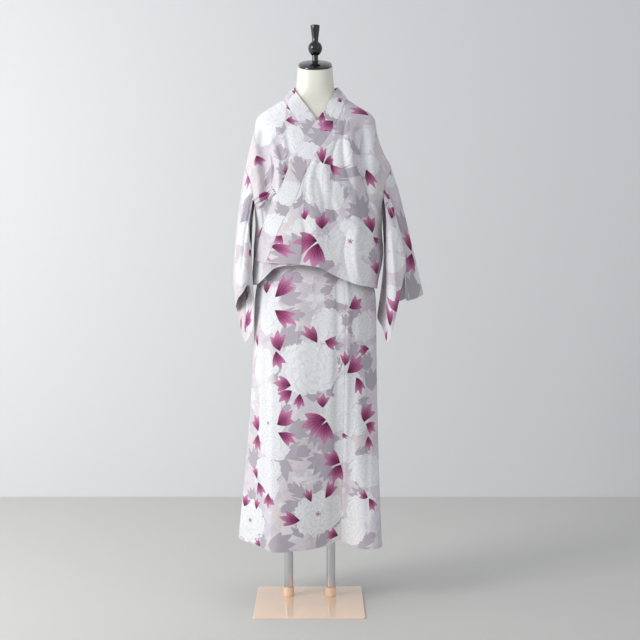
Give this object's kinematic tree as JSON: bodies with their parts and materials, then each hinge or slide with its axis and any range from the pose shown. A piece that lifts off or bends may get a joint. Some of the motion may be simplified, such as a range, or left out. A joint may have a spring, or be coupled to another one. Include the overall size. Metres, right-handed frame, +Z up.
{
  "type": "cotton yukata robe on a dress form",
  "caption": "Printed cotton yukata, a crossed jacket with hanging sleeves over a long wrap skirt, worn by a limbless dress form on a plate stand.",
  "frame": {"origin": "centre of the base plate's underside", "axes": "+Z up along the stand, the garment faces -Y, the wearer's left side is at +X"},
  "size_m": [0.5319, 0.3826, 1.6058],
  "materials": {
    "printed_cotton": "thin slubby plain-weave cotton, printed with white peonies, plum leaves and grey leaves",
    "cream_form": "smooth cream, low sheen",
    "black_lacquer": "gloss black lacquer on turned wood",
    "chrome_tube": "polished chrome plate",
    "beige_enamel": "glossy beige enamel on steel"
  },
  "bodies": {
    "root": {"base_plate": "beige_enamel", "socket_left": "beige_enamel", "socket_right": "beige_enamel", "pole_left": "chrome_tube", "pole_right": "chrome_tube", "dress_form": "cream_form", "neck_cap": "black_lacquer", "finial": "black_lacquer", "skirt_back_left": "printed_cotton", "skirt_back_right": "printed_cotton", "skirt_front_left": "printed_cotton", "skirt_okumi_left": "printed_cotton", "skirt_front_right": "printed_cotton", "skirt_okumi_right": "printed_cotton", "skirt_waistband": "printed_cotton", "jacket_body_left": "printed_cotton", "jacket_body_right": "printed_cotton", "jacket_okumi_left": "printed_cotton", "jacket_okumi_right": "printed_cotton", "jacket_collar": "printed_cotton", "sleeve_left": "printed_cotton", "sleeve_right": "printed_cotton", "side_tie": "printed_cotton"}
  },
  "joints": []
}
